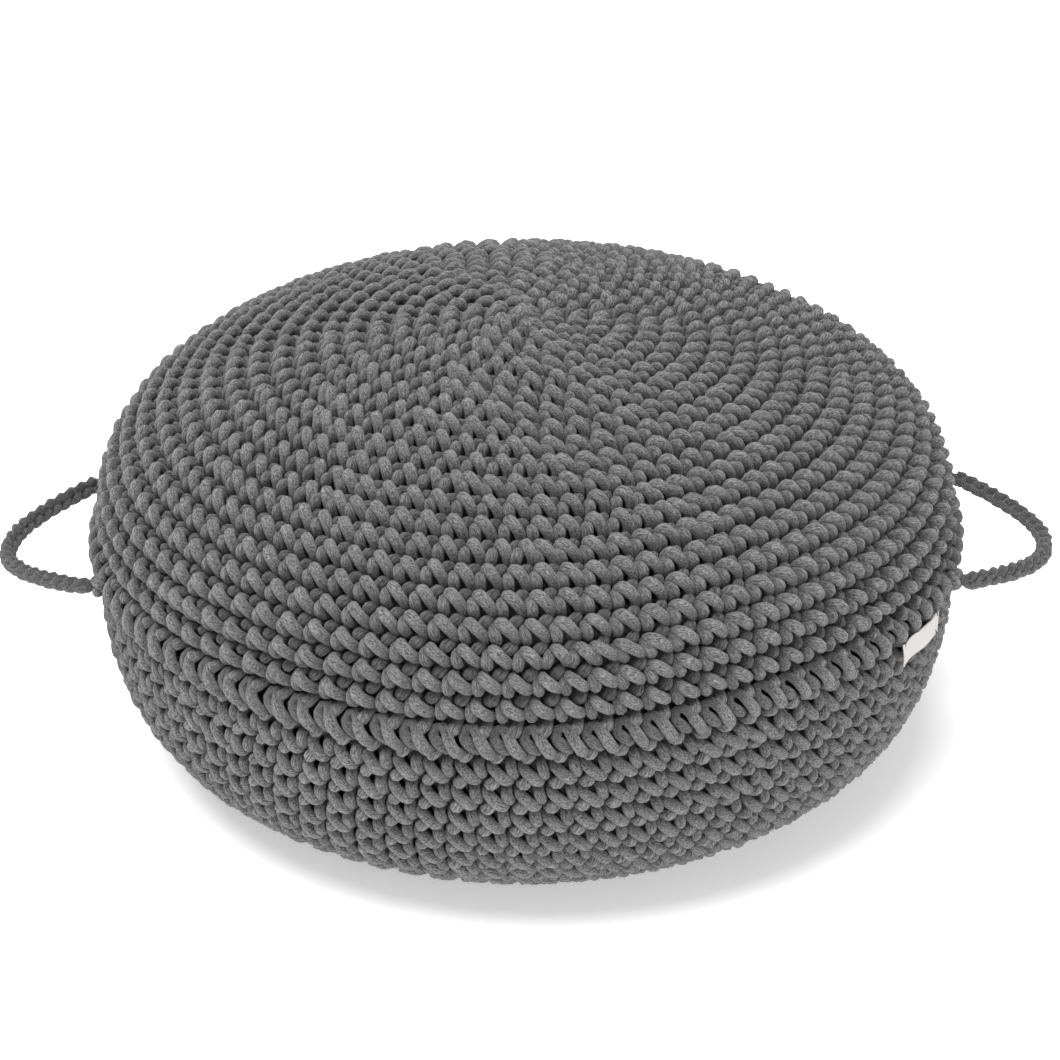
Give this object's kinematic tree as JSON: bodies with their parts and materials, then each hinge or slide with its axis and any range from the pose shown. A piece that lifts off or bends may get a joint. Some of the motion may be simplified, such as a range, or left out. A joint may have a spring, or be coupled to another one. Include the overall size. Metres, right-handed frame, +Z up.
{
  "type": "floor cushion",
  "caption": "Low round crocheted floor cushion with a domed top, a braided seam round its widest line, a rope loop handle on either side and a small blank cloth label.",
  "frame": {"origin": "centre of the round foot, on the floor", "axes": "+Z up; +X to the right-hand handle as seen from the front; the front is -Y, with the label towards the right"},
  "size_m": [0.6084, 0.5036, 0.2735],
  "materials": {
    "cover_yarn": "matte charcoal cotton yarn in chunky single crochet",
    "braid_yarn": "matte charcoal cotton yarn in a raised slip-stitch braid",
    "handle_rope": "matte charcoal crocheted cord",
    "label_tape": "off-white woven cotton tape, left blank",
    "label_thread": "dark grey sewing thread",
    "lining_cloth": "plain charcoal cotton cloth",
    "filling_beads": "light loose filling"
  },
  "bodies": {
    "cushion": {"upper_cover": "cover_yarn", "base_cover": "cover_yarn", "seam_braid": "braid_yarn", "label": "label_tape", "label_tack_front_top": "label_thread", "label_tack_front_low": "label_thread", "label_tack_rear_top": "label_thread", "label_tack_rear_low": "label_thread", "lining_top_panel": "lining_cloth", "lining_side_band": "lining_cloth", "lining_base_panel": "lining_cloth", "filling": "filling_beads"},
    "loop_left": {"handle_left": "handle_rope"},
    "loop_right": {"handle_right": "handle_rope"}
  },
  "joints": [
    {"name": "left_loop_swing", "type": "hinge", "parent": "cushion", "child": "loop_left", "pos_m": [-0.24982, -0.01747, 0.134], "axis": [-0.0698, 0.9976, 0], "range_deg": [-70, 90]},
    {"name": "right_loop_swing", "type": "hinge", "parent": "cushion", "child": "loop_right", "pos_m": [0.24982, -0.01747, 0.134], "axis": [-0.0698, -0.9976, 0], "range_deg": [-70, 90]}
  ]
}
